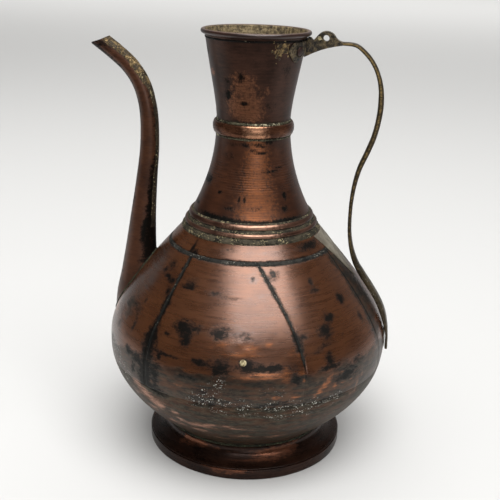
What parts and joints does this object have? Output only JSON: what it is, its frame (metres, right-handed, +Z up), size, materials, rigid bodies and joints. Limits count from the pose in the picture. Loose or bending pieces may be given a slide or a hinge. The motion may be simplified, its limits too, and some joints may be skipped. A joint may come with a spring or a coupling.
{
  "type": "ewer",
  "caption": "Copper ewer: round belly on a foot ring, tall neck with rolled mouth, S-shaped spout, and a brass strap handle with an empty lid hinge.",
  "frame": {"origin": "on the floor under the middle of the jug's overall box, 7 mm from the jug's own axis towards the spout", "axes": "+Z up, +X towards the handle, -X towards the spout, Y across the jug"},
  "size_m": [0.2598, 0.2392, 0.3605],
  "materials": {
    "copper": "worn satin copper with brown and grey patina",
    "dark_copper": "darkened copper",
    "bright_copper": "rubbed copper",
    "brass": "worn brass with dark edges",
    "dark_brass": "crusty dark brass",
    "tin": "dull tin and solder",
    "iron_wire": "dark wire"
  },
  "bodies": {
    "root": {"foot_band": "dark_copper", "foot_ring": "dark_copper", "base_bowl": "copper", "gore_handle": "copper", "gore_front_handle_side": "copper", "gore_back_handle_side": "copper", "gore_front": "copper", "gore_back": "copper", "gore_spout": "copper", "shoulder_cap": "copper", "lower_neck": "copper", "shoulder_bead_lower": "bright_copper", "shoulder_bead_upper": "bright_copper", "neck_collar": "bright_copper", "mouth_funnel": "copper", "rim_wire": "iron_wire", "spout_tube": "dark_copper", "spout_seam": "brass", "handle_strap": "brass", "handle_solder": "tin", "shoulder_patch": "tin", "hinge_arm": "dark_brass", "hinge_pin_stub": "brass", "neck_saddle": "dark_brass", "saddle_rivet_front": "bright_copper", "saddle_rivet_back": "bright_copper", "repair_plug": "brass"}
  },
  "joints": []
}
